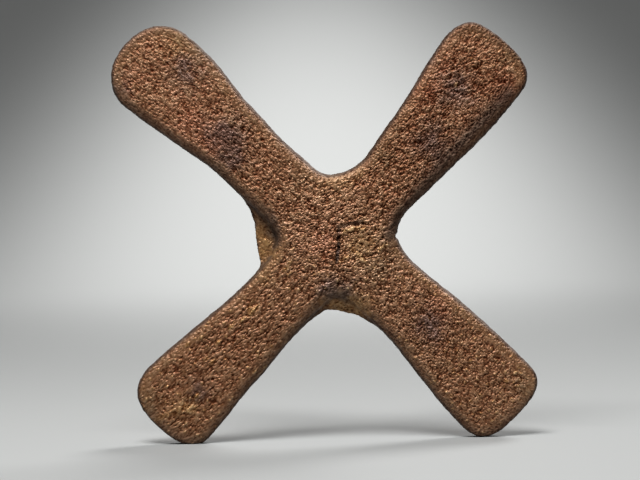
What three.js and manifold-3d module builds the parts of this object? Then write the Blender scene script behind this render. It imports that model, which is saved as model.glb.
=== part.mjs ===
// A cast copper currency cross: one solid X-shaped ingot of four flaring arms, poured in an open sand mould.
// The mould gave the face its rounded shoulders. The back is the level surface of the pour, with a small
// round edge. Lengths are millimetres and angles degrees. +Z is up, the face looks along -Y, and the cross
// stands on its two lower arms. The origin is on the ground, at the middle of its width and thickness.

import * as THREE from "three";
import { mergeVertices } from "three/addons/utils/BufferGeometryUtils.js";
import Module from "manifold-3d";

const wasm = await Module();
wasm.setup();

// Arms, anticlockwise as seen from the front. angle is the direction of the axis from the hub, from +X, and
// reach is from the hub's centre to the middle of the end. Each side, left or right of the axis looking
// outwards, leaves its crotch at the neck, that far from the hub. It widens through the given half widths,
// at even steps, to its corner, that far short of the end. fullness shapes the corner: 2 is an ellipse, and
// more is squarer.
const UPPER_RIGHT = {
  angle: 50.7,
  reach: 124.9,
  right: { neck: 31, widths: [18.1, 19.9, 21.6, 23.5, 25.2, 26.1, 26.3], corner: 16, fullness: 2.7 },
  left: { neck: 41, widths: [13.7, 14.6, 15.2, 16.3, 18, 19], corner: 19, fullness: 2.9 },
};
const UPPER_LEFT = {
  angle: 136.2,
  reach: 138.2,
  right: { neck: 30, widths: [18.7, 18.3, 18.3, 19.6, 20.4, 22.6, 24.3, 24.5], corner: 23, fullness: 2.4 },
  left: { neck: 48, widths: [15.5, 15.1, 15.5, 17.3, 18.7, 20.4, 21.4], corner: 19, fullness: 2 },
};
const LOWER_LEFT = {
  angle: 224.3,
  reach: 124.5,
  right: { neck: 42, widths: [17.1, 17.4, 18.6, 19.9, 21.3, 22.1], corner: 18.5, fullness: 2.6 },
  left: { neck: 42, widths: [17.5, 18.3, 19.6, 20.2, 21.8, 22.7], corner: 13.5, fullness: 2.4 },
};
const LOWER_RIGHT = {
  angle: 314.6,
  reach: 121.3,
  right: { neck: 42, widths: [16.4, 16.7, 18.6, 20.2, 21.9, 22.5], corner: 16.3, fullness: 2.9 },
  left: { neck: 35, widths: [18.3, 19.4, 20.7, 21.3, 21.7, 21.7], corner: 14.3, fullness: 2.8 },
};
const ARMS = [UPPER_RIGHT, UPPER_LEFT, LOWER_LEFT, LOWER_RIGHT];

// How far the deepest point of each crotch lies from the hub's centre: top, left, bottom and right.
const CROTCH_DEPTHS = [32.5, 29.2, 27.8, 29.8];

// Section of the casting, measured from the flat back.
const HUB_THICKNESS = 9.8;
const ARM_THICKNESS = 8.6;
const TIP_THICKNESS = 7.4;
const FACE_CROWN = 0.5;
const FACE_SWELL = 0.22;
const SWELL_PITCH = 31;
const EDGE_HEIGHT = 2.6;
const TIP_EDGE_HEIGHT = 4.4;
const BACK_EDGE_RADIUS = 1.1;
const SHOULDER_WIDTH = 5.2;
const TIP_SHOULDER_WIDTH = 2.4;
const SHOULDER_FULLNESS = 2.2;

// Shares of an arm's reach between which the hub gives way to the arm, the arm thins, and its edge steepens.
const HUB_ENDS = [0.08, 0.42];
const ARM_THINS = [0.45, 1];
const EDGE_STEEPENS = [0.78, 0.95];

// Fins of metal that ran under the crumbled sand in two of the crotches, level with the back and as thick as
// the casting's edge. Each is given by the points of its ragged outer edge, from the hub's centre.
const LEFT_FIN = [[-43.9, 20.3], [-41.2, 15.1], [-39.3, 9], [-38.6, -1], [-36.9, -11.2], [-40, -17]];
const BOTTOM_FIN = [[-18, -42.4], [-12.2, -37.5], [-5.9, -33.5], [-1, -33.8], [9.1, -36.4], [21, -43.7]];
const FIN_TAPER = 0.7;

// Seams where the streams of metal met and froze without joining: grooves through points on the face.
const HUB_SEAM = [[1.1, 6.7], [0.9, -2.4], [0.2, -10.6]];
const SIDE_SEAM = [[1.1, 6.7], [6.9, 7.5], [14.2, 8.3]];
const SEAM_RADIUS = 0.7;

// The nick in the right crotch, and the wear that gives the two lower arms their feet.
const NICK_ANGLE = 3;
const NICK_RADIUS = 0.9;
const FOOT_WEAR = 1;

// How finely the surface is drawn.
const CROTCH_SPOKES = 11;
const FLANK_SPOKES = 12;
const END_SPOKES = 9;
const SHOULDER_ROWS = 5;
const FACE_ROWS = 7;
const EDGE_ROWS = 3;
const OUTLINE_FINENESS = 6;
const SEAM_STEPS = 8;
const SMALLEST_DETAIL = 0.01;
const SAME_POINT = 1e-3;

const QUARTER = Math.PI / 2;
const radians = THREE.MathUtils.degToRad;
const lerp = THREE.MathUtils.lerp;
const ease = THREE.MathUtils.smoothstep;
const heading = (angle) => new THREE.Vector2(Math.cos(radians(angle)), Math.sin(radians(angle)));

// A point of an arm's plane: along its axis from the hub, and across to the left of it.
function onArm(arm, along, across) {
  const axis = heading(arm.angle);
  return new THREE.Vector2(axis.x * along - axis.y * across, axis.y * along + axis.x * across);
}

// A smooth curve through plan points given as pairs.
function curveThrough(pairs) {
  return new THREE.SplineCurve(pairs.map(([x, y]) => new THREE.Vector2(x, y)));
}

// One flank from the neck to the corner, and the end from the corner to the middle of the tip.
function flankPoints(arm, side, sign, count) {
  const step = (arm.reach - side.corner - side.neck) / (side.widths.length - 1);
  const curve = curveThrough(side.widths.map((width, i) => [side.neck + i * step, width]));
  return Array.from({ length: count }, (_, k) => {
    const { x, y } = curve.getPointAt(k / count);
    return onArm(arm, x, sign * y);
  });
}

function endPoints(arm, side, sign, count) {
  const flare = side.widths.at(-1);
  return Array.from({ length: count + 1 }, (_, k) => {
    const turn = (QUARTER * k) / count;
    const along = arm.reach - side.corner * (1 - Math.sin(turn) ** (2 / side.fullness));
    return onArm(arm, along, sign * flare * Math.max(0, Math.cos(turn)) ** (2 / side.fullness));
  });
}

// The curve of a crotch, from the left neck of an arm to the right neck of the next.
function crotchCurve(i) {
  const arm = ARMS[i];
  const next = ARMS[(i + 1) % ARMS.length];
  const from = onArm(arm, arm.left.neck, arm.left.widths[0]);
  const to = onArm(next, next.right.neck, -next.right.widths[0]);
  const first = heading(arm.angle);
  const second = heading(next.angle);
  const middle = first.clone().add(second).normalize();
  const opening = (middle.dot(from) + middle.dot(to)) / 2;
  const pull = ((opening - CROTCH_DEPTHS[i]) * 8) / (3 * (middle.dot(first) + middle.dot(second)));
  return new THREE.CubicBezierCurve(
    from,
    from.clone().addScaledVector(first, -pull),
    to.clone().addScaledVector(second, -pull),
    to,
  );
}

// Half of a crotch, from its middle to the neck of an arm on the given side of the arm.
function crotchPoints(i, sign, count) {
  const curve = crotchCurve(sign > 0 ? i : (i + ARMS.length - 1) % ARMS.length);
  const neck = sign > 0 ? 0 : 1;
  return Array.from({ length: count }, (_, k) => curve.getPoint(lerp(0.5, neck, k / count)));
}

// Half of an arm's outline, from the middle of the crotch to the middle of the tip.
function halfOutline(i, sign, fineness) {
  const arm = ARMS[i];
  const side = sign > 0 ? arm.left : arm.right;
  return [
    ...crotchPoints(i, sign, CROTCH_SPOKES * fineness),
    ...flankPoints(arm, side, sign, FLANK_SPOKES * fineness),
    ...endPoints(arm, side, sign, END_SPOKES * fineness),
  ];
}

// Both halves of every arm joined in one anticlockwise round, without repeating the shared middles.
function roundOf(halfOf) {
  return ARMS.flatMap((_, i) => {
    const right = halfOf(i, -1);
    const left = halfOf(i, 1);
    return [...right, ...left.slice(1, -1).reverse()];
  });
}

const outline = roundOf((i, sign) => halfOutline(i, sign, OUTLINE_FINENESS));
const fins = [LEFT_FIN, BOTTOM_FIN].map((fin) => fin.map(([x, y]) => new THREE.Vector2(x, y)));

// How far inside the body's outline a point lies, or 0 for a point outside it.
function depthWithin(point) {
  let nearest = Infinity;
  let inside = false;
  outline.forEach((a, i) => {
    const b = outline[(i + 1) % outline.length];
    const edge = b.clone().sub(a);
    const to = point.clone().sub(a);
    if (a.y > point.y !== b.y > point.y && to.x < (edge.x * to.y) / edge.y) inside = !inside;
    const share = THREE.MathUtils.clamp(to.dot(edge) / edge.lengthSq(), 0, 1);
    nearest = Math.min(nearest, to.addScaledVector(edge, -share).length());
  });
  return inside ? nearest : 0;
}

// How far along a ray it crosses the outer edge of a fin, or 0 where it misses the fin.
function finReach(fin, start, direction) {
  const crossings = fin.slice(1).map((end, i) => {
    const edge = end.clone().sub(fin[i]);
    const to = fin[i].clone().sub(start);
    const slant = direction.cross(edge);
    const share = to.cross(direction) / slant;
    return share >= 0 && share <= 1 ? to.cross(edge) / slant : 0;
  });
  return Math.max(0, ...crossings);
}

// Spokes run from an arm's axis to the casting's rim, which is the body's brink or the edge of a fin beyond
// it, and the surface is drawn in rows across them. Those of the crotches start near the hub, and those of
// the end fan out from one pole.
function halfSpokes(i, sign) {
  const arm = ARMS[i];
  const knee = (arm.left.neck + arm.right.neck) / 4;
  const pole = arm.reach - (arm.left.widths.at(-1) + arm.right.widths.at(-1)) / 2;
  return halfOutline(i, sign, 1).map((brink, k) => {
    const flank = THREE.MathUtils.clamp((k - CROTCH_SPOKES) / FLANK_SPOKES, 0, 1);
    const along = k < CROTCH_SPOKES ? (knee * k) / CROTCH_SPOKES : lerp(knee, pole, flank);
    const root = onArm(arm, along, 0);
    const direction = brink.clone().sub(root).normalize();
    const reach = Math.max(root.distanceTo(brink), ...fins.map((fin) => finReach(fin, root, direction)));
    return { root, brink, rim: root.clone().addScaledVector(direction, reach) };
  });
}

// Height of the face above the back: a rounded shoulder, then a slightly crowned face, thinner at the tips.
function faceHeight(point) {
  const inside = depthWithin(point);
  const out = Math.max(...ARMS.map((arm) => heading(arm.angle).dot(point) / arm.reach));
  const tip = ease(out, ...EDGE_STEEPENS);
  const shoulder = lerp(SHOULDER_WIDTH, TIP_SHOULDER_WIDTH, tip);
  const edge = lerp(EDGE_HEIGHT, TIP_EDGE_HEIGHT, tip);
  const arm = lerp(ARM_THICKNESS, TIP_THICKNESS, ease(out, ...ARM_THINS));
  const full = lerp(HUB_THICKNESS, arm, ease(out, ...HUB_ENDS));
  const share = Math.min(1, inside / shoulder);
  const rise = (1 - (1 - share) ** SHOULDER_FULLNESS) ** (1 / SHOULDER_FULLNESS);
  const crown = FACE_CROWN * (ease(inside, 0, 3 * SHOULDER_WIDTH) - 1);
  const wave = (2 * Math.PI) / SWELL_PITCH;
  const swell = Math.sin(wave * (point.x + point.y / 2)) * Math.sin(wave * (point.y - point.x / 3));
  return edge + (full - edge + crown + FACE_SWELL * swell) * rise;
}

// The rows of one spoke, from the axis on the face, down the shoulder to the body's brink, out along any fin
// to the rim, over the edge, and to the axis on the back.
function rowsOf({ root, brink, rim }) {
  const inwards = root.clone().sub(rim);
  const length = inwards.length();
  const fin = rim.distanceTo(brink);
  inwards.normalize();
  const at = (inset, height) => {
    const plan = rim.clone().addScaledVector(inwards, inset);
    return new THREE.Vector3(plan.x, -(height ?? faceHeight(plan)), plan.y);
  };
  const face = Array.from({ length: FACE_ROWS }, (_, j) =>
    at(lerp(length, fin + SHOULDER_WIDTH, j / FACE_ROWS)),
  );
  const shoulder = Array.from({ length: SHOULDER_ROWS + 1 }, (_, j) =>
    at(fin + SHOULDER_WIDTH * (1 - Math.sin((QUARTER * j) / SHOULDER_ROWS))),
  );
  const lip = fin > SMALLEST_DETAIL ? at(0, EDGE_HEIGHT - Math.min(FIN_TAPER, fin / 4)) : shoulder.at(-1);
  const edge = Array.from({ length: EDGE_ROWS }, (_, j) => {
    const turn = (QUARTER * j) / (EDGE_ROWS - 1);
    return at(BACK_EDGE_RADIUS * (1 - Math.cos(turn)), BACK_EDGE_RADIUS * (1 - Math.sin(turn)));
  });
  return [...face, ...shoulder, lip, ...edge, at(length, 0)];
}

// A closed mesh as a solid that can be cut. Faces that close up where points meet are dropped.
function solidOf(geometry) {
  const shape = new THREE.BufferGeometry().setIndex(geometry.index);
  shape.setAttribute("position", geometry.attributes.position);
  const merged = mergeVertices(shape, SAME_POINT);
  const corners = merged.index.array;
  const kept = [];
  for (let i = 0; i < corners.length; i += 3) {
    const [a, b, c] = corners.slice(i, i + 3);
    if (a !== b && b !== c && c !== a) kept.push(a, b, c);
  }
  const vertProperties = merged.attributes.position.array;
  return new wasm.Manifold(new wasm.Mesh({ numProp: 3, vertProperties, triVerts: new Uint32Array(kept) }));
}

// One closed skin through the rows of all spokes.
function skin() {
  const columns = roundOf(halfSpokes).map(rowsOf);
  const rows = columns[0].length;
  const index = [];
  columns.forEach((_, i) => {
    const next = (i + 1) % columns.length;
    for (let j = 0; j + 1 < rows; j++) {
      const [a, b, c, d] = [i * rows + j, next * rows + j, next * rows + j + 1, i * rows + j + 1];
      index.push(a, c, b, a, d, c);
    }
  });
  return new THREE.BufferGeometry().setFromPoints(columns.flat()).setIndex(index);
}

// The round cutter of a groove, which follows the seam over the face.
function seamCutter(pairs) {
  const points = curveThrough(pairs)
    .getSpacedPoints(SEAM_STEPS)
    .map((p) => new THREE.Vector3(p.x, -faceHeight(p), p.y));
  return new THREE.ExtrudeGeometry(new THREE.Shape().absarc(0, 0, SEAM_RADIUS, 0, 4 * QUARTER), {
    extrudePath: new THREE.CatmullRomCurve3(points),
    steps: SEAM_STEPS,
    curveSegments: SEAM_STEPS,
  });
}

// The nick's cutter, a round bar through the casting.
function nickCutter() {
  const place = heading(NICK_ANGLE).multiplyScalar(CROTCH_DEPTHS.at(-1));
  const bar = new THREE.CylinderGeometry(NICK_RADIUS, NICK_RADIUS, 2 * HUB_THICKNESS, SEAM_STEPS);
  return bar.translate(place.x, -HUB_THICKNESS / 2, place.y);
}

// The block that wears the feet level: what it takes off is the lowest part of the two lower arms.
function footCutter(geometry) {
  geometry.computeBoundingBox();
  const { min, max } = geometry.boundingBox;
  const width = 2 * (max.x - min.x);
  return new THREE.BoxGeometry(width, 4 * HUB_THICKNESS, 2 * FOOT_WEAR).translate(0, 0, min.z);
}

function castCross() {
  const body = skin();
  const cutters = [seamCutter(HUB_SEAM), seamCutter(SIDE_SEAM), nickCutter(), footCutter(body)];
  const mesh = cutters.reduce((left, cutter) => left.subtract(solidOf(cutter)), solidOf(body)).getMesh();
  const geometry = new THREE.BufferGeometry()
    .setAttribute("position", new THREE.BufferAttribute(mesh.vertProperties, mesh.numProp))
    .setIndex(new THREE.BufferAttribute(mesh.triVerts, 1));
  geometry.computeBoundingBox();
  const { min, max } = geometry.boundingBox;
  geometry.translate(-(min.x + max.x) / 2, -(min.y + max.y) / 2, -min.z);
  geometry.computeVertexNormals();
  return geometry;
}

const copper = new THREE.MeshStandardMaterial({ color: 0x6f4f38, roughness: 0.55, metalness: 0.85 });
const casting = new THREE.Mesh(castCross(), copper);
casting.name = "cross_casting";

const cross = new THREE.Group();
cross.add(casting);

export default cross;
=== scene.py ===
"""A cast copper cross, standing on the corners of its two lower arms in a plain pale studio."""

import itertools
import math

import bmesh
import bpy
import numpy as np
from mathutils import Matrix, Vector
from mathutils.kdtree import KDTree


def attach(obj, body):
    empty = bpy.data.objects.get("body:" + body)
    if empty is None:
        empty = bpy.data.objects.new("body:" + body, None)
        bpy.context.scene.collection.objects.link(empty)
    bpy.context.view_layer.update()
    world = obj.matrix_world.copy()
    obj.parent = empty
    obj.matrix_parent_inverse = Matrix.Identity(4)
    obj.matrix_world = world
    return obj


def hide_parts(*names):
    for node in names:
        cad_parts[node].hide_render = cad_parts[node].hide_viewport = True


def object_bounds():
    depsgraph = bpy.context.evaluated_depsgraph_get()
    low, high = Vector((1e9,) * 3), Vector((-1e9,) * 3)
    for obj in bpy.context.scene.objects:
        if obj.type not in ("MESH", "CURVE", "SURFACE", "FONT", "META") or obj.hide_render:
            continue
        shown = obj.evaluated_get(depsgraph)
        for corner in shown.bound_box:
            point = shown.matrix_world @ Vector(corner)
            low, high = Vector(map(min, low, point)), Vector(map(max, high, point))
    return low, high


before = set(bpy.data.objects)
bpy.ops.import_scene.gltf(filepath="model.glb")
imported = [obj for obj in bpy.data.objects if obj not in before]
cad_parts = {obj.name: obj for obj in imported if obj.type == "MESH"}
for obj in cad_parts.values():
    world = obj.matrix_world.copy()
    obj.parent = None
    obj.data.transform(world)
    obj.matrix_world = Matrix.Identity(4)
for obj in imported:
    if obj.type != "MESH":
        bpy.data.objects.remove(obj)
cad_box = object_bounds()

# Lengths of the casting are in millimetres, and its places are across and up from the hub, where the arms
# meet. Lengths of the studio are in metres. A pair named as a span is where something begins and where it
# is complete.
MM = 0.001
HUB = np.array([5.485, 96.227])

# Each arm's direction in degrees, from the right towards the top. Then its grain: how many times longer
# it is along the arm than across it, its pitch and its strength. Last, how much lighter than the rest its
# skin is.
ARMS = {
    "upper_right": {"angle": 50.7, "stretch": 1.3, "pitch": 0.84, "strength": 1.0, "lift": -0.07},
    "upper_left": {"angle": 136.2, "stretch": 1.7, "pitch": 0.8, "strength": 0.9, "lift": 0},
    "lower_left": {"angle": 224.3, "stretch": 2.0, "pitch": 0.84, "strength": 0.85, "lift": 0.02},
    "lower_right": {"angle": 314.6, "stretch": 1.2, "pitch": 0.86, "strength": 1.0, "lift": 0.02},
}
HUB_GRAIN = {"angle": 8.0, "stretch": 1.35, "pitch": 0.86, "strength": 1.15, "lift": 0}
GRAINS = {**ARMS, "hub": HUB_GRAIN}

# How far the hub reaches, and how sharply the arms part from each other, near and far from it.
HUB_RADIUS = 30.0
ARM_PULL = 9
ARM_PULL_REACH = 18

# Soft stains in the metal's skin: places and radii.
STAINS = {
    "copper": [
        (-68.2, 57.2, 9), (-60, 49, 7), (-5.5, 0.4, 9), (82.8, 71.4, 7), (51.9, 84, 6), (43, 72, 7),
        (50, -33, 7),
    ],
    "gold": [
        (-36, 3.5, 7), (3.4, -31, 9), (0, 30, 7), (11.2, 32.7, 4), (12, -1, 8), (-42.4, -31.5, 3),
        (-74, -78, 6), (-72, 98, 8), (-36, -14, 6),
    ],
    "dark": [
        (-52.4, 52, 9), (-48, 42, 7), (-29.5, 3.3, 4), (-31, 9, 4), (-3.7, -23.7, 6), (5, -24, 5),
        (44, -41.7, 8), (-68.8, -70.3, 5), (58.8, 71, 9), (46.2, 47.3, 8), (-70, 84, 8), (-104, 76, 6),
        (44, 86, 5),
    ],
    "fin": [(-36.5, 4, 6), (-34, -3, 5), (3.4, -32, 6), (11, -34.5, 5), (-3, -31.5, 4)],
    "olive": [
        (-62, 92, 6), (88, 84, 6), (60, -30, 5), (89, -71.7, 5), (-91.5, -74.6, 5), (-18, 31, 6),
        (24, 40, 6), (-67, -98, 6), (20, -13, 7),
    ],
}

# Larger lumps left by the mould, which lie along the lower left arm: places, lengths, widths and heights.
LUMPS = [
    (-40.6, -32.3, 3.2, 0.9, 0.75), (-45.9, -36.7, 1.8, 0.7, 0.6), (-51.5, -40, 1.4, 0.8, 0.525),
    (-57.7, -47, 1.5, 0.7, 0.6), (-63.6, -55, 1.3, 0.7, 0.525), (-60.8, -56.5, 1.5, 0.8, 0.6),
    (-72.6, -48.1, 1.4, 0.8, 0.525), (-65.8, -44.9, 1.2, 0.7, 0.45), (-68.9, -72.7, 1.6, 0.8, 0.6),
    (-40.7, -61.8, 1.4, 0.7, 0.525), (-35.8, -60, 1.3, 0.7, 0.45), (-24.6, -12.7, 1.6, 0.8, 0.525),
    (-22.6, -9.8, 1.2, 0.7, 0.45), (79.5, -69.1, 0.8, 0.7, 0.45), (62.9, -59, 0.8, 0.6, 0.45),
    (84.4, -65.3, 0.9, 0.7, 0.45), (58.8, 73.4, 0.8, 0.7, 0.45), (66.3, 85.3, 0.7, 0.7, 0.375),
]

# Single beads of metal. Going up through the span of heights they shrink to a share of their height.
BEAD_SPACING = 3.6
BEAD_RADIUS = 0.75
BEAD_HEIGHT = 0.32
BEAD_SEED = 51
BEADS_SHRINK = (-25, 15)
HIGH_BEAD_SHARE = 0.35

# Painted shade on the undersides of shoulders and in the creases of the crotches, as paths with the radius
# of their soft edge and their strength.
SHADES = [
    ([(25.8, 2.5), (30.5, 11.5), (38.3, 20.5), (58, 42), (84, 68)], 4.5, 0.9),
    ([(-9.6, -28.4), (-6.6, -24.6), (-1.3, -23.3), (4, -24.9), (8.7, -29.8)], 2.6, 0.65),
    ([(-35.4, 17.9), (-30.7, 13), (-28.4, 8.1), (-28.1, 0.9)], 2.2, 0.65),
]

# A nick in the brink of the right crotch: its path, width and depth.
NICKS = [([(29.6, 1.45), (30.6, 1.3)], 0.9, 0.9)]

# Seams at the hub, as paths with their widths and strengths. A seam's strength varies along it with the
# swell.
SEAMS = [
    ([(1.1, 6.7), (0.9, -2.4), (0.2, -10.6)], 0.7, 1.35),
    ([(1.1, 6.7), (6.9, 7.9), (12.2, 8.9)], 0.9, 0.8),
]
SEAM_DEPTH = 0.5
SEAM_EVENNESS = 0.75
SEAM_VARIATION = 0.5

# Raised lines at the hub, and one across the end of the lower left arm: paths, widths and heights.
RIDGES = [
    ([(3.7, 4.8), (8.5, 5.9), (13.4, 5.9)], 0.9, 0.4),
    ([(6.4, -2.8), (9.7, -5.8), (12.5, -9.7)], 0.8, 0.3),
    ([(20.4, -4.6), (23.8, -1.8)], 0.9, 0.35),
    ([(1.0, -10.4), (5.4, -7.6)], 0.8, 0.3),
    ([(-89.4, -84.3), (-79.8, -80.2), (-70.0, -77.6)], 1.7, 0.25),
]

# How far paths and stains stray from their places, and the layers of noise that carry them across and up:
# pitches, shares of that reach, and seeds.
PATH_STRAY = 0.6
STAIN_STRAY = 4
STRAY_LAYERS = [[(6, 1, 60), (2, 0.5, 70)], [(6, 1, 61), (2, 0.5, 71)]]

# The even mesh of the casting: its spacing, how far a face tilts to the front to be split, and how far at
# most a vertex on the outline tilts to the front or back. Each pass of smoothing moves a vertex in towards
# its neighbours' mean and out again, by these shares of the way.
VOXEL = 0.58
FRONT_TILT = 0.35
OUTLINE_TILT = 0.3
SMOOTH_PASSES = 14
FINE_SMOOTH_PASSES = 4
SMOOTH_IN = 0.5
SMOOTH_OUT = -0.53

# Spans of tilt over which a vertex comes to belong to the face, to the back and to all that shows from
# the front, and of distance from the outline over which the shoulder ends. Distances under the least one
# count as it, so that a way can be divided by them.
FACE_TILTS = (0.2, 0.95)
BACK_TILTS = (0.5, 0.95)
FRONT_TILTS = (-0.3, 0.1)
SHOULDER_ENDS = (3.5, 7.0)
LEAST_DISTANCE = 0.01

# Smooth noise: how many random entries it is made from, how much it is raised to reach from -1 to 1, and
# how far across its cell the centre of a pebble may lie.
NOISE_TABLE = 256
NOISE_GAIN = 1.6
PEBBLE_CENTRES = (0.1, 0.9)

# The sand grain, a mixture of pebbles, ridges and lumps on warped places. An arm's grain is worked out
# where the arm has more than the least share. A rate is bumps to each pebble's width, and a level is what
# is taken off so that a part has about as much below zero as above.
LEAST_SHARE = 0.03
WARP_RATE = 0.5
WARP_REACH = 0.35
WARP_SHIFTS = (0, 17, 31)
WARP_SEED = 40
PEBBLE_AMOUNT = 0.85
PEBBLE_STEEPNESS = 1.5
PEBBLE_LEVEL = 0.6
PEBBLE_SEED = 10
RIDGE_AMOUNT = 0.4
RIDGE_RATE = 0.75
RIDGE_STEEPNESS = 2
RIDGE_LEVEL = -0.5
RIDGE_SEED = 20
LUMP_AMOUNT = 0.4
LUMP_RATE = 0.4
LUMP_SEED = 30
GRAIN_LIMIT = 2.6

# The grain's depth on edges and how much more it has on the face, and the shares of it that the shoulder,
# the back and the worn tips lack. Its middle lies under the smooth face by this many times its depth.
EDGE_GRAIN = 0.05
FACE_GRAIN = 0.24
SHOULDER_CALM = 0.5
BACK_CALM = 0.8
TIP_WEAR = 0.35
TIPS_BEGIN = (60, 105)
GRAIN_SUNK = 1.2

# The slow swell of the face, and the unevenness of the edges: pitches, heights and seeds, and how far
# edges are worn.
SWELL_PITCH = 9
SWELL_HEIGHT = 0.1
SWELL_SEED = 3
EDGE_LAYERS = [(5, 0.22, 90), (2, 0.14, 91)]
EDGE_WEAR = 0.1

# The open-poured back: how far it is sunk, its waves as pitches, heights and seeds, its wrinkles, and its
# pocks with the span of their rims as shares of their spacing.
BACK_SUNK = 0.21
BACK_LAYERS = [(12, 0.3, 5), (4, 0.16, 6), (1.5, 0.1, 16)]
WRINKLE_PITCH = 16
WRINKLE_DEPTH = 0.1
WRINKLE_CREST = (0.5, 1.0)
WRINKLE_SEED = 9
POCK_SPACING = 7
POCK_DEPTH = 0.4
POCK_RIM = (0.1, 0.4)
POCK_SEED = 7

# The most that single grains stand proud of the solid's box, at the face and at the back.
PROUD = 0.2

# The skin's shade, from 0 in the darkest gaps to 1 on the palest tops, and how much its contrast fades on
# shoulders.
SKIN_SHADE = 0.5
SKIN_CONTRAST = 0.2
SHOULDER_FADE = 0.45
SHOULDER_LIFT = 0.04

# The back's shade, how much darker its hollows are, its clouds as pitches, heights and seeds, and how
# much the finest crumbs fade on it.
BACK_SHADE = 0.66
BACK_HOLLOWS = 0.45
BACK_CLOUDS = [(9, 0.12, 8), (2, 0.1, 12)]
BACK_FADE = 0.3

# Painted shade, which darkens the skin through the side tone: the spans of distance from the outline over
# which it ends, its strengths, the span over which an edge counts as turned down or up, the heights over
# which that on upward edges grows, and how much less of it fins take. It lies as a dark rim on the
# outline, on edges turned down from the light, and on edges turned up towards it, where it dims how
# brightly they are lit.
RIM_SHADE_ENDS = (0.2, 2.4)
UNDER_SHADE_ENDS = (1.5, 7.5)
OVER_SHADE_ENDS = (1.5, 5.5)
UNDER_SHADE = 0.7
OVER_SHADE = 0.2
HIGH_SHADE = 0.2
HIGH_PLACES = (10, 40)
TURNED = (0.2, 0.8)
FIN_SHADE_CUT = 0.6

# How strongly raised metal is polished, for each millimetre of its height.
POLISH = 2

# The skin's two mottled colours, and the size and detail of their mottling.
SKIN_COLOURS = [(174, 108, 68), (158, 112, 71)]
MOTTLE_PITCH = 5
MOTTLE_DETAIL = 4
PLAIN_ROUGHNESS = 0.5

# What lies on the skin, in order: the number that each vertex keeps for it, its colour, and its greatest
# share.
SKIN_TONES = [
    ("copper", (190, 108, 72), 0.4),
    ("gold", (192, 142, 84), 0.45),
    ("olive", (140, 118, 80), 0.3),
    ("fin", (208, 146, 72), 0.75),
    ("dark", (84, 56, 56), 0.65),
    ("shoulder", (174, 130, 88), 0.35),
    ("ridge", (222, 168, 104), 0.75),
    ("seam", (52, 30, 24), 0.8),
    # The side tone paints shade on the outline, turned edges, undersides of shoulders and side walls.
    ("side", (60, 41, 26), 0.85),
]

# What the skin's colour is multiplied by, from the gaps of the grain, red and dark, to its pale worn
# tops.
GRAIN_TINTS = [
    (0.0, (0.1, 0.035, 0.01)),
    (0.3, (0.32, 0.235, 0.14)),
    (0.6, (0.59, 0.61, 0.59)),
    (1.0, (1.02, 1.32, 1.75)),
]

# The crumbs, finer than the mesh: the detail and roughness of their noise, the span of it that is used,
# how much they shift the skin's shade either way, and how deep they look.
CRUMB_DETAIL = 3
CRUMB_ROUGHNESS = 0.6
CRUMB_SPAN = (0.3, 0.7)
CRUMB_SHADE = 0.16
CRUMB_DEPTH = 0.6

# Roughness in the gaps and on the tops, and how much it rises under the side tone's painted shade. Then
# the shades between which the metal's mirror colour gives way to a skin, and how metallic both ends are.
GAP_ROUGHNESS = 0.6
TOP_ROUGHNESS = 0.3
SIDE_ROUGHNESS = 0.3
METAL_SHADES = (0, 0.7)
METAL_SHARES = (1, 0.4)
SPECULAR_LEVEL = 0.8

# The paper floor and wall.
PAPER_COLOUR = (128, 129, 128)
PAPER_ROUGHNESS = 0.9
FLOOR_RADIUS = 1.3
WALL_RADIUS = 3.0
WALL_HEIGHT = 4.0
BEND_STEPS = 24
TURN_STEPS = 96

# The lights: places, sizes or radii, spreads in degrees and watts. The backdrop's pool is drawn out
# sideways.
LIT_POINT = (0.0, 0.0, 0.1)
KEY_PLACE = (-0.25, -0.62, 1.6)
KEY_SIZE = (0.8, 0.7)
KEY_WATTS = 58
BACK_PLACE = (0.9, 0.9, 1.4)
BACK_RADIUS = 0.45
BACK_SPREAD = 40
BACK_WATTS = 190
POOL_PLACE = (0, 1.5, 2.0)
POOL_POINT = (0, 1.66, 0.04)
POOL_RADIUS = 0.2
POOL_SPREAD = 34
POOL_WATTS = 430
POOL_STRETCH = (1, 2.5, 1)
SKY_STRENGTH = 0.24

# The photographed view: its centre and width at the cross, its roll and height in degrees, and the
# camera.
VIEW_CENTRE = Vector((-0.00243, 0.0024, 0.09664))
VIEW_WIDTH = 0.30797
VIEW_ROLL = 1.38
VIEW_ELEVATION = 2.0
LENS = 100.0
SENSOR = 36.0
FARTHEST_SEEN = 20


def linear(red, green, blue):
    """A colour named by its 8-bit screen values, as the renderer takes it, by the standard screen curve."""
    values = []
    for part in (red, green, blue):
        share = part / 255
        values.append(share / 12.92 if share <= 0.04045 else ((share + 0.055) / 1.055) ** 2.4)
    return (*values, 1.0)


def ease(span, values):
    """0 below a span, 1 above it, and smooth between."""
    low, high = span
    share = np.clip((values - low) / (high - low), 0, 1)
    return share * share * (3 - 2 * share)


def blended(share):
    """A step from 0 to 1 that starts and ends level and unbent."""
    return share ** 3 * (share * (share * 6 - 15) + 10)


def noise_entries(cells, order):
    """An entry of the noise table for each cell, always the same one for the same cell."""
    entries = order[cells[:, 0] % NOISE_TABLE]
    for axis in (1, 2):
        entries = order[(entries + cells[:, axis]) % NOISE_TABLE]
    return entries


def gradient_noise(points, seed):
    """Smooth random relief, about -1 to 1, with a bump for each unit of length."""
    random = np.random.default_rng(seed)
    order = random.permutation(NOISE_TABLE)
    ways = random.normal(size=(NOISE_TABLE, 3))
    ways /= np.linalg.norm(ways, axis=1, keepdims=True)
    cells = np.floor(points).astype(int)
    inside = points - cells
    blend = blended(inside)
    total = np.zeros(len(points))
    for corner in itertools.product((0, 1), repeat=3):
        step = np.array(corner)
        entries = noise_entries(cells + step, order)
        weight = np.prod(np.where(step, blend, 1 - blend), axis=1)
        total += weight * np.sum(ways[entries] * (inside - step), axis=1)
    return NOISE_GAIN * total


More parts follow.
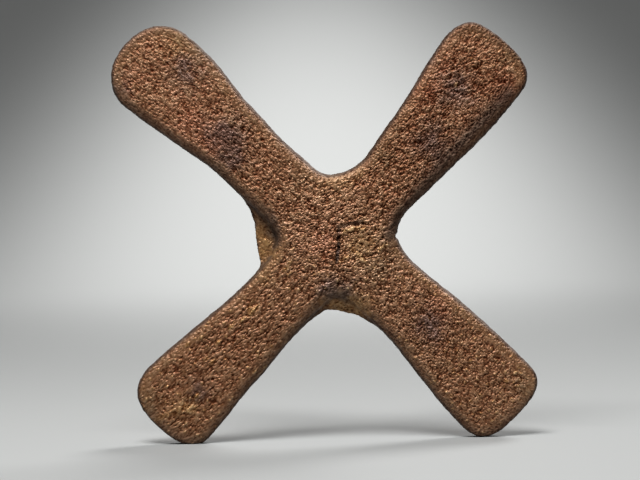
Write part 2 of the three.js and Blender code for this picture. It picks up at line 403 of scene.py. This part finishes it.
def pebble_noise(points, seed):
    """Distance from each point to the nearest of a random scatter of pebble centres."""
    random = np.random.default_rng(seed)
    order = random.permutation(NOISE_TABLE)
    centres = random.uniform(*PEBBLE_CENTRES, size=(NOISE_TABLE, 3))
    cells = np.floor(points).astype(int)
    inside = points - cells
    nearest = np.full(len(points), np.inf)
    for corner in itertools.product((-1, 0, 1), repeat=3):
        step = np.array(corner)
        entries = noise_entries(cells + step, order)
        away = np.linalg.norm(centres[entries] + step - inside, axis=1)
        nearest = np.minimum(nearest, away)
    return nearest


def layered_noise(points, layers):
    """Smooth random relief in layers, each with a pitch, a height and a seed."""
    return sum(height * gradient_noise(points / pitch, seed) for pitch, height, seed in layers)


def remeshed(node, name):
    """A copy of a CAD node as an even mesh, fine enough to carry the grain."""
    piece = bpy.data.objects.new(name, node.data.copy())
    bpy.context.scene.collection.objects.link(piece)
    modifier = piece.modifiers.new("even mesh", "REMESH")
    modifier.mode = "VOXEL"
    modifier.voxel_size = VOXEL * MM
    depsgraph = bpy.context.evaluated_depsgraph_get()
    mesh = bpy.data.meshes.new_from_object(piece.evaluated_get(depsgraph))
    piece.modifiers.clear()
    piece.data = mesh
    piece.data.name = name
    return piece


def split_front(mesh):
    """Halves the mesh's spacing on the front, which carries the grain."""
    shape = bmesh.new()
    shape.from_mesh(mesh)
    shape.normal_update()
    edges = [edge for edge in shape.edges if any(face.normal.y < -FRONT_TILT for face in edge.link_faces)]
    bmesh.ops.subdivide_edges(shape, edges=edges, cuts=1, use_grid_fill=True)
    shape.to_mesh(mesh)
    shape.free()
    mesh.update()


def positions_of(mesh):
    """The mesh's vertices in millimetres."""
    flat = np.empty(len(mesh.vertices) * 3)
    mesh.vertices.foreach_get("co", flat)
    return flat.reshape(-1, 3) / MM


def normals_of(mesh):
    """The mesh's vertex normals."""
    flat = np.empty(len(mesh.vertices) * 3)
    mesh.vertex_normals.foreach_get("vector", flat)
    return flat.reshape(-1, 3)


def place(mesh, points):
    """Moves the mesh's vertices to points in millimetres."""
    mesh.vertices.foreach_set("co", (points * MM).astype(np.float32).ravel())
    mesh.update()


def neighbour_mean(points, edges, counts):
    """The mean of each vertex's neighbours."""
    total = np.empty_like(points)
    for axis in range(points.shape[1]):
        total[:, axis] = np.bincount(edges[:, 0], points[edges[:, 1], axis], len(points))
        total[:, axis] += np.bincount(edges[:, 1], points[edges[:, 0], axis], len(points))
    return total / counts[:, None]


def smoothed(mesh, points, passes):
    """Points with the mesh's facets rounded off and its size kept."""
    edges = np.empty(len(mesh.edges) * 2, int)
    mesh.edges.foreach_get("vertices", edges)
    edges = edges.reshape(-1, 2)
    counts = np.bincount(edges.ravel(), minlength=len(points)).astype(float)
    for _ in range(passes):
        for share in (SMOOTH_IN, SMOOTH_OUT):
            points = points + share * (neighbour_mean(points, edges, counts) - points)
    return points


def path_distance(places, path):
    """Distance of each place to a path of straight runs."""
    nearest = np.full(len(places), np.inf)
    for start, end in zip(path, path[1:]):
        start = np.array(start)
        run = np.array(end) - start
        share = np.clip((places - start) @ run / (run @ run), 0, 1)
        nearest = np.minimum(nearest, np.linalg.norm(places - start - share[:, None] * run, axis=1))
    return nearest


def along_paths(places, lines):
    """Height of a soft line along each path, with its own width and height, the highest where they meet."""
    height = np.zeros(len(places))
    for path, width, rise in lines:
        height = np.maximum(height, rise * np.exp(-((path_distance(places, path) / width) ** 2)))
    return height


def way_to_outline(places, normals):
    """The way from each place to the nearest point of the outline, across and up."""
    outline = places[np.abs(normals[:, 1]) < OUTLINE_TILT]
    tree = KDTree(len(outline))
    for number, spot in enumerate(outline):
        tree.insert((*spot, 0), number)
    tree.balance()
    nearest = np.array([tree.find((*spot, 0))[0][:2] for spot in places])
    return nearest - places


def arm_shares(places):
    """For each arm and the hub, how much a place belongs to it, with the shares adding up to one."""
    away = np.linalg.norm(places, axis=1)
    heading = np.arctan2(places[:, 1], places[:, 0])
    pull = ARM_PULL * away / (away + ARM_PULL_REACH)
    shares = {}
    for name, arm in ARMS.items():
        shares[name] = np.exp(pull * np.cos(heading - math.radians(arm["angle"])))
    total = sum(shares.values())
    middle = np.exp(-((away / HUB_RADIUS) ** 2))
    shares = {name: share / total * (1 - middle) for name, share in shares.items()}
    shares["hub"] = middle
    return shares


class Surface:
    """The smooth casting vertex by vertex: its place, and how much of each part of the cross it is."""

    def __init__(self, points, normals):
        self.points = points
        self.places = points[:, [0, 2]] - HUB
        self.shares = arm_shares(self.places)
        way = way_to_outline(self.places, normals)
        self.inward = np.linalg.norm(way, axis=1)
        self.downward = -way[:, 1] / np.maximum(self.inward, LEAST_DISTANCE)
        self.facing = ease(FACE_TILTS, -normals[:, 1])
        self.backing = ease(BACK_TILTS, normals[:, 1])
        self.front = ease(FRONT_TILTS, -normals[:, 1])
        self.shoulder = 1 - ease(SHOULDER_ENDS, self.inward)


def along_arm(places, arm):
    """How far each place is out along an arm, and how far to its left side."""
    angle = math.radians(arm["angle"])
    out = places @ np.array([math.cos(angle), math.sin(angle)])
    left = places @ np.array([-math.sin(angle), math.cos(angle)])
    return out, left


def grain_mix(spot, number):
    """Pebbles, ridges and lumps at spots measured in pebbles, with seeds of their own for each number."""
    warp = [gradient_noise(spot * WARP_RATE + shift, WARP_SEED + number) for shift in WARP_SHIFTS]
    spot = spot + WARP_REACH * np.column_stack(warp)
    nearest = pebble_noise(spot, PEBBLE_SEED + number)
    pebbles = np.sqrt(np.clip(1 - PEBBLE_STEEPNESS * nearest ** 2, 0, 1)) - PEBBLE_LEVEL
    creases = np.abs(gradient_noise(spot * RIDGE_RATE, RIDGE_SEED + number))
    ridges = -RIDGE_STEEPNESS * creases - RIDGE_LEVEL
    lumps = gradient_noise(spot * LUMP_RATE, LUMP_SEED + number)
    return PEBBLE_AMOUNT * pebbles + RIDGE_AMOUNT * ridges + LUMP_AMOUNT * lumps


def grain_relief(surface):
    """Height of the sand grain, about -2 in the gaps to 2 on the tops, drawn out along each arm."""
    total = np.zeros(len(surface.points))
    power = np.zeros(len(surface.points))
    for number, (name, share) in enumerate(surface.shares.items()):
        grain = GRAINS[name]
        mine = share > LEAST_SHARE
        out, left = along_arm(surface.places[mine], grain)
        spot = np.column_stack([out / grain["stretch"], left, surface.points[mine, 1]]) / grain["pitch"]
        total[mine] += share[mine] * grain["strength"] * grain_mix(spot, number)
        power[mine] += share[mine] ** 2
    height = total / np.sqrt(power)
    height = (height - height.mean()) / height.std()
    return GRAIN_LIMIT * np.tanh(height / GRAIN_LIMIT)


def strayed(places, points, reach):
    """The places shifted at random by up to a reach, so that what is drawn on them has ragged edges."""
    return places + reach * np.column_stack([layered_noise(points, layers) for layers in STRAY_LAYERS])


def stain_weight(places, spots):
    """How strongly a kind of stain shows at each place."""
    clear = np.ones(len(places))
    for across, up, radius in spots:
        away = np.hypot(places[:, 0] - across, places[:, 1] - up)
        clear *= 1 - np.exp(-((away / radius) ** 2))
    return 1 - clear


def lump_height(places):
    """Height of the larger lumps at each place."""
    height = np.zeros(len(places))
    for across, up, length, width, rise in LUMPS:
        out, left = along_arm(places - np.array([across, up]), ARMS["lower_left"])
        away = (out / length) ** 2 + (left / width) ** 2
        height = np.maximum(height, rise * np.exp(-away))
    return height


def bead_height(surface):
    """Height of single beads of metal, scattered over the casting and lower above the hub."""
    away = pebble_noise(surface.points / BEAD_SPACING, BEAD_SEED) * BEAD_SPACING
    kept = 1 - (1 - HIGH_BEAD_SHARE) * ease(BEADS_SHRINK, surface.places[:, 1])
    return BEAD_HEIGHT * kept * np.exp(-((away / BEAD_RADIUS) ** 4))


def back_relief(points):
    """How far the open-poured back lies below the solid's: slow sags, wrinkles, and pocks left by gas."""
    flat = points * np.array([1, 0, 1])
    wrinkles = ease(WRINKLE_CREST, 1 - np.abs(gradient_noise(flat / WRINKLE_PITCH, WRINKLE_SEED)))
    pocks = 1 - ease(POCK_RIM, pebble_noise(flat / POCK_SPACING, POCK_SEED))
    return BACK_SUNK + layered_noise(flat, BACK_LAYERS) + WRINKLE_DEPTH * wrinkles + POCK_DEPTH * pocks


class Relief:
    """The heights of what stands on the smooth casting or is sunk into it, vertex by vertex."""

    def __init__(self, surface):
        broken = strayed(surface.places, surface.points, PATH_STRAY)
        self.grain = grain_relief(surface)
        self.swell = gradient_noise(surface.points / SWELL_PITCH, SWELL_SEED)
        self.raised = lump_height(surface.places) + bead_height(surface) + along_paths(broken, RIDGES)
        self.seam = along_paths(broken, SEAMS) * (SEAM_EVENNESS + SEAM_VARIATION * self.swell)
        self.drop = back_relief(surface.points)


def grain_depth(surface):
    """How deep the grain is: less on shoulders and worn tips than on the face, and little elsewhere."""
    worn = TIP_WEAR * ease(TIPS_BEGIN, np.linalg.norm(surface.places, axis=1))
    face = FACE_GRAIN * surface.facing * (1 - SHOULDER_CALM * surface.shoulder) * (1 - worn)
    return (EDGE_GRAIN + face) * (1 - BACK_CALM * surface.backing)


def outward_shift(surface, relief):
    """How far each vertex moves out along its normal."""
    edge = 1 - surface.facing - surface.backing
    on_face = SWELL_HEIGHT * relief.swell + relief.raised - SEAM_DEPTH * relief.seam
    shift = grain_depth(surface) * (relief.grain - GRAIN_SUNK)
    shift += on_face * surface.facing
    shift += (layered_noise(surface.points, EDGE_LAYERS) - EDGE_WEAR) * edge
    shift -= relief.drop * surface.backing
    shift -= along_paths(surface.places, NICKS)
    return shift


def held_in(values, low, high):
    """The values, with what passes a limit eased off so that it stands only a little proud of it."""
    inside = np.clip(values, low, high)
    return inside + PROUD * np.tanh((values - inside) / PROUD)


def painted_shade_weight(surface, fins):
    """Painted shade at each vertex: at the outline, on edges turned down or up, and under shoulders."""
    grown = OVER_SHADE + HIGH_SHADE * ease(HIGH_PLACES, surface.places[:, 1])
    rim = 1 - ease(RIM_SHADE_ENDS, surface.inward)
    under = UNDER_SHADE * (1 - ease(UNDER_SHADE_ENDS, surface.inward)) * ease(TURNED, surface.downward)
    over = grown * (1 - ease(OVER_SHADE_ENDS, surface.inward)) * ease(TURNED, -surface.downward)
    shades = along_paths(surface.places, SHADES)
    return np.max([rim, under, over, shades], axis=0) * (1 - FIN_SHADE_CUT * fins)


def skin_shade(surface, relief, moved):
    """The skin's shade, from the grain on the face, and from the hollows and clouds on the back."""
    lift = sum(share * GRAINS[name]["lift"] for name, share in surface.shares.items())
    faded = 1 - SHOULDER_FADE * surface.shoulder
    skin = SKIN_SHADE + lift + SKIN_CONTRAST * relief.grain * faded + SHOULDER_LIFT * surface.shoulder
    bare = BACK_SHADE - BACK_HOLLOWS * relief.drop + layered_noise(moved, BACK_CLOUDS)
    return skin + surface.backing * (bare - skin)


def painted_numbers(surface, relief, moved):
    """The numbers from 0 to 1 that the material reads at each vertex, by name."""
    front = surface.front
    stained = strayed(surface.places, moved, STAIN_STRAY)
    numbers = {"flow_" + name: share for name, share in surface.shares.items()}
    numbers |= {name: stain_weight(stained, spots) * front for name, spots in STAINS.items()}
    # Painted shade: darker at the outline, on turned edges and under shoulders.
    painted_shade = painted_shade_weight(surface, numbers["fin"])
    numbers["grain"] = skin_shade(surface, relief, moved)
    numbers["crumble"] = (1 - SHOULDER_FADE * surface.shoulder) * (1 - BACK_FADE * surface.backing)
    # Where the side tone paints shade and roughens the skin: where the shade above lies, and on the side
    # walls.
    numbers["side"] = np.maximum(painted_shade, 1 - front) * (1 - surface.backing)
    numbers["shoulder"] = surface.shoulder * (1 - painted_shade) * front
    numbers["seam"] = np.minimum(relief.seam, 1) * front
    numbers["ridge"] = np.minimum(POLISH * relief.raised, 1) * front
    return numbers


def shape_casting(mesh):
    """Gives the even mesh its smooth shoulders, its relief and the numbers that its material reads."""
    place(mesh, smoothed(mesh, positions_of(mesh), SMOOTH_PASSES))
    split_front(mesh)
    points = smoothed(mesh, positions_of(mesh), FINE_SMOOTH_PASSES)
    place(mesh, points)
    normals = normals_of(mesh)
    surface = Surface(points, normals)
    relief = Relief(surface)
    moved = points + outward_shift(surface, relief)[:, None] * normals
    moved[:, 1] = held_in(moved[:, 1], cad_box[0][1] / MM, cad_box[1][1] / MM)
    moved[:, 2] = np.maximum(moved[:, 2], 0)
    place(mesh, moved)
    for name, values in painted_numbers(surface, relief, moved).items():
        attribute = mesh.attributes.new(name, "FLOAT", "POINT")
        attribute.data.foreach_set("value", values.astype(np.float32))
    mesh.shade_smooth()


def feed(tree, socket, value):
    """Links a node's socket to another's output, or sets it to a plain value."""
    if isinstance(value, bpy.types.NodeSocket):
        tree.links.new(value, socket)
    else:
        socket.default_value = value


def vertex_number(tree, name):
    """A number that each vertex keeps, as the material reads it."""
    node = tree.nodes.new("ShaderNodeAttribute")
    node.attribute_name = name
    return node.outputs["Fac"]


def arithmetic(tree, operation, *values):
    """A sum on numbers, each of them plain or another node's output."""
    node = tree.nodes.new("ShaderNodeMath")
    node.operation = operation
    for socket, value in zip(node.inputs, values):
        feed(tree, socket, value)
    return node.outputs["Value"]


def ranged(tree, value, span, results):
    """A number's way through a span, as the same way between two results."""
    node = tree.nodes.new("ShaderNodeMapRange")
    tree.links.new(value, node.inputs["Value"])
    for name, limit in zip(("From Min", "From Max", "To Min", "To Max"), (*span, *results)):
        node.inputs[name].default_value = limit
    return node.outputs["Result"]


def mixed(tree, share, first, second, way="MIX"):
    """Two colours mixed, or blended another way, with a share of the second."""
    node = tree.nodes.new("ShaderNodeMix")
    node.data_type = "RGBA"
    node.blend_type = way
    for name, value in (("Factor", share), ("A", first), ("B", second)):
        feed(tree, node.inputs[name], value)
    return node.outputs["Result"]


def noise_texture(tree, vector, scale, detail, roughness):
    """The renderer's own smooth noise at a vector."""
    node = tree.nodes.new("ShaderNodeTexNoise")
    node.inputs["Scale"].default_value = scale
    node.inputs["Detail"].default_value = detail
    node.inputs["Roughness"].default_value = roughness
    tree.links.new(vector, node.inputs["Vector"])
    return node.outputs["Fac"]


def crumb_noise(tree, where):
    """A noise finer than the mesh, drawn out along each arm as the modelled grain is."""
    total = 0
    for name, grain in GRAINS.items():
        pitch = grain["pitch"] * MM
        turn = tree.nodes.new("ShaderNodeMapping")
        turn.vector_type = "TEXTURE"
        turn.inputs["Rotation"].default_value = (0, -math.radians(grain["angle"]), 0)
        turn.inputs["Scale"].default_value = (pitch * grain["stretch"], pitch, pitch)
        tree.links.new(where, turn.inputs["Vector"])
        noise = noise_texture(tree, turn.outputs["Vector"], 1, CRUMB_DETAIL, CRUMB_ROUGHNESS)
        total = arithmetic(tree, "MULTIPLY_ADD", noise, vertex_number(tree, "flow_" + name), total)
    return total


def stained_skin(tree, where):
    """The skin's mottled colour under its stains, seams and the side tone's painted shade."""
    mottle = noise_texture(tree, where, 1 / (MOTTLE_PITCH * MM), MOTTLE_DETAIL, PLAIN_ROUGHNESS)
    first, second = SKIN_COLOURS
    colour = mixed(tree, mottle, linear(*first), linear(*second))
    for name, tone, most in SKIN_TONES:
        share = arithmetic(tree, "MULTIPLY", vertex_number(tree, name), most)
        colour = mixed(tree, share, colour, linear(*tone))
    return colour


def grain_tint(tree, shade):
    """What the skin's colour is multiplied by at a shade."""
    node = tree.nodes.new("ShaderNodeValToRGB")
    stops = node.color_ramp.elements
    while len(stops) < len(GRAIN_TINTS):
        stops.new(1)
    for stop, (position, tint) in zip(stops, GRAIN_TINTS):
        stop.position = position
        stop.color = (*tint, 1)
    tree.links.new(shade, node.inputs["Fac"])
    return node.outputs["Color"]


def crumbled_normal(tree, crumbs):
    """The surface's direction, roughened by the crumbs."""
    node = tree.nodes.new("ShaderNodeBump")
    node.inputs["Distance"].default_value = CRUMB_DEPTH * MM
    tree.links.new(vertex_number(tree, "crumble"), node.inputs["Strength"])
    tree.links.new(crumbs, node.inputs["Height"])
    return node.outputs["Normal"]


def copper_material():
    """Old copper with a dull brown skin, dark and red in the gaps of the grain and pale on its worn tops."""
    material = bpy.data.materials.new("copper")
    material.use_nodes = True
    tree = material.node_tree
    shader = tree.nodes["Principled BSDF"]
    where = tree.nodes.new("ShaderNodeTexCoord").outputs["Object"]
    grain = vertex_number(tree, "grain")
    crumbs = crumb_noise(tree, where)
    speckle = ranged(tree, crumbs, CRUMB_SPAN, (-CRUMB_SHADE, CRUMB_SHADE))
    shade = arithmetic(tree, "ADD", grain, speckle)
    colour = mixed(tree, 1, stained_skin(tree, where), grain_tint(tree, shade), "MULTIPLY")
    gloss = ranged(tree, grain, (0, 1), (GAP_ROUGHNESS, TOP_ROUGHNESS))
    dulled = arithmetic(tree, "MULTIPLY_ADD", vertex_number(tree, "side"), SIDE_ROUGHNESS, gloss)
    shader.inputs["Specular IOR Level"].default_value = SPECULAR_LEVEL
    tree.links.new(colour, shader.inputs["Base Color"])
    tree.links.new(ranged(tree, shade, METAL_SHADES, METAL_SHARES), shader.inputs["Metallic"])
    tree.links.new(dulled, shader.inputs["Roughness"])
    tree.links.new(crumbled_normal(tree, crumbs), shader.inputs["Normal"])
    return material


def paper_material():
    """The pale matt paper of the floor and wall."""
    material = bpy.data.materials.new("pale_paper")
    material.use_nodes = True
    shader = material.node_tree.nodes["Principled BSDF"]
    shader.inputs["Base Color"].default_value = linear(*PAPER_COLOUR)
    shader.inputs["Roughness"].default_value = PAPER_ROUGHNESS
    return material


def make_stage():
    """A round floor that bends up into a wall all the way round."""
    bend = WALL_RADIUS - FLOOR_RADIUS
    profile = [(FLOOR_RADIUS / 2, 0.0)]
    for step in range(BEND_STEPS + 1):
        angle = math.pi / 2 * step / BEND_STEPS
        profile.append((FLOOR_RADIUS + bend * math.sin(angle), bend * (1 - math.cos(angle))))
    profile.append((WALL_RADIUS, WALL_HEIGHT))
    shape = bmesh.new()
    rings = []
    for radius, height in profile:
        ring = []
        for turn in range(TURN_STEPS):
            angle = 2 * math.pi * turn / TURN_STEPS
            ring.append(shape.verts.new((radius * math.cos(angle), radius * math.sin(angle), height)))
        rings.append(ring)
    shape.faces.new(rings[0])
    for inner, outer in zip(rings, rings[1:]):
        for turn in range(TURN_STEPS):
            after = (turn + 1) % TURN_STEPS
            shape.faces.new((inner[turn], inner[after], outer[after], outer[turn]))
    bmesh.ops.recalc_face_normals(shape, faces=shape.faces)
    mesh = bpy.data.meshes.new("studio_floor")
    shape.to_mesh(mesh)
    shape.free()
    mesh.shade_smooth()
    mesh.materials.append(paper_material())
    floor = bpy.data.objects.new("studio_floor", mesh)
    bpy.context.scene.collection.objects.link(floor)


def hang(name, data, location, target):
    """A light that the camera doesn't see, hung at a place and turned to face a point."""
    light = bpy.data.objects.new(name, data)
    light.location = location
    light.rotation_euler = (Vector(target) - light.location).to_track_quat("-Z", "Y").to_euler()
    light.visible_camera = False
    bpy.context.scene.collection.objects.link(light)
    return light


def soft_panel(name, location, target, size, watts):
    """A soft rectangular light."""
    data = bpy.data.lights.new(name, "AREA")
    data.shape = "RECTANGLE"
    data.size, data.size_y = size
    data.energy = watts
    return hang(name, data, location, target)


def soft_spot(name, location, target, radius, spread, watts):
    """A round pool of light with a soft edge."""
    data = bpy.data.lights.new(name, "SPOT")
    data.energy = watts
    data.shadow_soft_size = radius
    data.spot_size = math.radians(spread)
    data.spot_blend = 1.0
    return hang(name, data, location, target)


def make_lights():
    """A soft key from above, a weaker one from behind, a pool of light on the backdrop, and an even sky."""
    soft_panel("key", KEY_PLACE, LIT_POINT, KEY_SIZE, KEY_WATTS)
    soft_spot("back", BACK_PLACE, LIT_POINT, BACK_RADIUS, BACK_SPREAD, BACK_WATTS)
    pool = soft_spot("backdrop", POOL_PLACE, POOL_POINT, POOL_RADIUS, POOL_SPREAD, POOL_WATTS)
    pool.scale = POOL_STRETCH
    world = bpy.data.worlds.new("studio")
    world.use_nodes = True
    sky = world.node_tree.nodes["Background"]
    sky.inputs["Color"].default_value = (1, 1, 1, 1)
    sky.inputs["Strength"].default_value = SKY_STRENGTH
    bpy.context.scene.world = world


def make_camera():
    """The camera at the photograph's angle, level but for a slight roll."""
    data = bpy.data.cameras.new("camera")
    data.lens = LENS
    data.sensor_width = SENSOR
    data.clip_end = FARTHEST_SEEN
    camera = bpy.data.objects.new("camera", data)
    bpy.context.scene.collection.objects.link(camera)
    reach = VIEW_WIDTH * LENS / SENSOR
    tilt = math.radians(VIEW_ELEVATION)
    camera.location = VIEW_CENTRE + reach * Vector((0, -math.cos(tilt), math.sin(tilt)))
    turn = Matrix.Rotation(math.pi / 2 - tilt, 3, "X") @ Matrix.Rotation(-math.radians(VIEW_ROLL), 3, "Z")
    camera.rotation_euler = turn.to_euler()
    bpy.context.scene.camera = camera


def make_casting():
    """The cross itself, which stands for the CAD casting."""
    piece = remeshed(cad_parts["cross_casting"], "cast_cross")
    shape_casting(piece.data)
    piece.data.materials.clear()
    piece.data.materials.append(copper_material())
    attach(piece, "root")
    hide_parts("cross_casting")


make_stage()
make_lights()
make_camera()
make_casting()
bpy.context.scene.view_settings.view_transform = "Standard"
